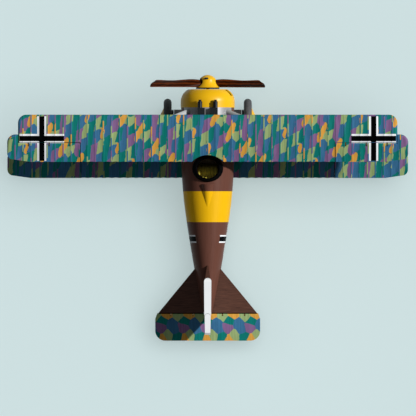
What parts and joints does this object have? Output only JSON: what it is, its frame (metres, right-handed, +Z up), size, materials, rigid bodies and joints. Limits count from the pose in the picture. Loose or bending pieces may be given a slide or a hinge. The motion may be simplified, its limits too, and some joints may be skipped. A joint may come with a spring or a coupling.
{
  "type": "model biplane",
  "caption": "Desk model of a rotary-engined biplane fighter with staggered lozenge-printed wings, a spinning propeller, rolling wheels and hinged control surfaces.",
  "frame": {"origin": "on the ground, under the middle of the model standing on its wheels and tail skid", "axes": "+X towards the nose, +Y to port, +Z up from the ground; the thrust line points 13 degrees up from +X"},
  "size_m": [0.2647, 0.4016, 0.1071],
  "materials": {
    "brown_paint": "brown paint with a yellow band and crosses, satin",
    "stained_wood": "brown stained balsa, satin",
    "ply": "bare ply, matt",
    "dark_ply": "dark varnished ply",
    "yellow_metal": "yellow paint, gloss",
    "grey_metal": "grey paint, satin",
    "dark_metal": "dark, satin",
    "steel": "turned, satin",
    "brass": "turned",
    "black_leather": "padded, satin",
    "olive_leather": "channelled, satin",
    "gun_black": "black, satin",
    "printed_cover": "printed with an irregular five colour lozenge repeat, satin",
    "covered_balsa": "balsa under the printed lozenge cover, satin",
    "balsa": "bare balsa",
    "white_paint": "white paint, satin",
    "grey_paint": "pale grey paint, satin",
    "ash": "varnished ash",
    "propeller_wood": "laminated, dark red-brown gloss varnish",
    "grey_rubber": "grey, matt",
    "black_plastic": "black, satin"
  },
  "bodies": {
    "airframe": {"axle": "steel", "axle_collars": "steel", "axle_fairing": "grey_paint", "cabane_struts": "grey_paint", "cockpit_coaming": "black_leather", "cockpit_floor": "ply", "cowling": "yellow_metal", "dorsal_fillet": "stained_wood", "elevator_hinges": "brass", "fin": "white_paint", "firewall": "ply", "fuselage_formers": "ply", "fuselage_shell": "brown_paint", "gauges": "brass", "gun_jackets": "gun_black", "gun_receivers": "gun_black", "headrest_fairing": "brown_paint", "instrument_panel": "dark_ply", "interplane_diagonals": "grey_paint", "interplane_struts": "grey_paint", "lower_aileron_hinges": "brass", "lower_wing": "printed_cover", "lower_wing_ribs": "balsa", "lower_wing_spars": "balsa", "rudder_hinges": "brass", "seat_back_pad": "olive_leather", "seat_cushion": "olive_leather", "seat_pan": "dark_ply", "shaft_bush": "brass", "tail_skid": "ash", "tailplane": "stained_wood", "top_deck": "grey_metal", "undercarriage_legs": "grey_paint", "upper_aileron_hinges": "brass", "upper_wing": "printed_cover", "upper_wing_ribs": "balsa", "upper_wing_spars": "balsa"},
    "propeller_group": {"propeller": "propeller_wood", "spinner": "yellow_metal", "spinner_backplate": "dark_metal", "propeller_shaft": "steel", "propeller_nut": "steel", "engine_crankcase": "dark_metal", "engine_cylinders": "dark_metal"},
    "left_wheel": {"left_tyre": "grey_rubber", "left_wheel_disc": "black_plastic", "left_wheel_cover": "yellow_metal"},
    "right_wheel": {"right_tyre": "grey_rubber", "right_wheel_disc": "black_plastic", "right_wheel_cover": "yellow_metal"},
    "upper_left_aileron_body": {"upper_left_aileron": "covered_balsa"},
    "upper_right_aileron_body": {"upper_right_aileron": "covered_balsa"},
    "lower_left_aileron_body": {"lower_left_aileron": "covered_balsa"},
    "lower_right_aileron_body": {"lower_right_aileron": "covered_balsa"},
    "elevator_body": {"elevator": "covered_balsa"},
    "rudder_body": {"rudder": "white_paint"}
  },
  "joints": [
    {"name": "propeller_spin", "type": "hinge", "parent": "airframe", "child": "propeller_group", "pos_m": [0.10038, 0, 0.07253], "axis": [0.9744, 0, 0.225], "continuous": true},
    {"name": "left_wheel_spin", "type": "hinge", "parent": "airframe", "child": "left_wheel", "pos_m": [0.10424, 0.0403, 0.018], "axis": [0, 1, 0], "continuous": true},
    {"name": "right_wheel_spin", "type": "hinge", "parent": "airframe", "child": "right_wheel", "pos_m": [0.10424, -0.0403, 0.018], "axis": [0, 1, 0], "continuous": true},
    {"name": "upper_left_aileron_hinge", "type": "hinge", "parent": "airframe", "child": "upper_left_aileron_body", "pos_m": [0.05565, 0.161, 0.09944], "axis": [0, 1, 0], "range_deg": [-20, 20]},
    {"name": "upper_right_aileron_hinge", "type": "hinge", "parent": "airframe", "child": "upper_right_aileron_body", "pos_m": [0.05565, -0.161, 0.09944], "axis": [0, 1, 0], "range_deg": [-20, 20]},
    {"name": "lower_left_aileron_hinge", "type": "hinge", "parent": "airframe", "child": "lower_left_aileron_body", "pos_m": [0.05383, 0.161, 0.03662], "axis": [0, 1, 0], "range_deg": [-20, 20]},
    {"name": "lower_right_aileron_hinge", "type": "hinge", "parent": "airframe", "child": "lower_right_aileron_body", "pos_m": [0.05383, -0.161, 0.03662], "axis": [0, 1, 0], "range_deg": [-20, 20]},
    {"name": "elevator_hinge", "type": "hinge", "parent": "airframe", "child": "elevator_body", "pos_m": [-0.10267, 0, 0.03181], "axis": [0, 1, 0], "range_deg": [-25, 25]},
    {"name": "rudder_hinge", "type": "hinge", "parent": "airframe", "child": "rudder_body", "pos_m": [-0.10278, 0, 0.02563], "axis": [-0.225, 0, 0.9744], "range_deg": [-25, 25]}
  ],
  "couplings": [
    {"joint": "upper_right_aileron_hinge", "follows": "upper_left_aileron_hinge", "ratio": -1},
    {"joint": "lower_left_aileron_hinge", "follows": "upper_left_aileron_hinge", "ratio": 1},
    {"joint": "lower_right_aileron_hinge", "follows": "upper_left_aileron_hinge", "ratio": -1}
  ]
}
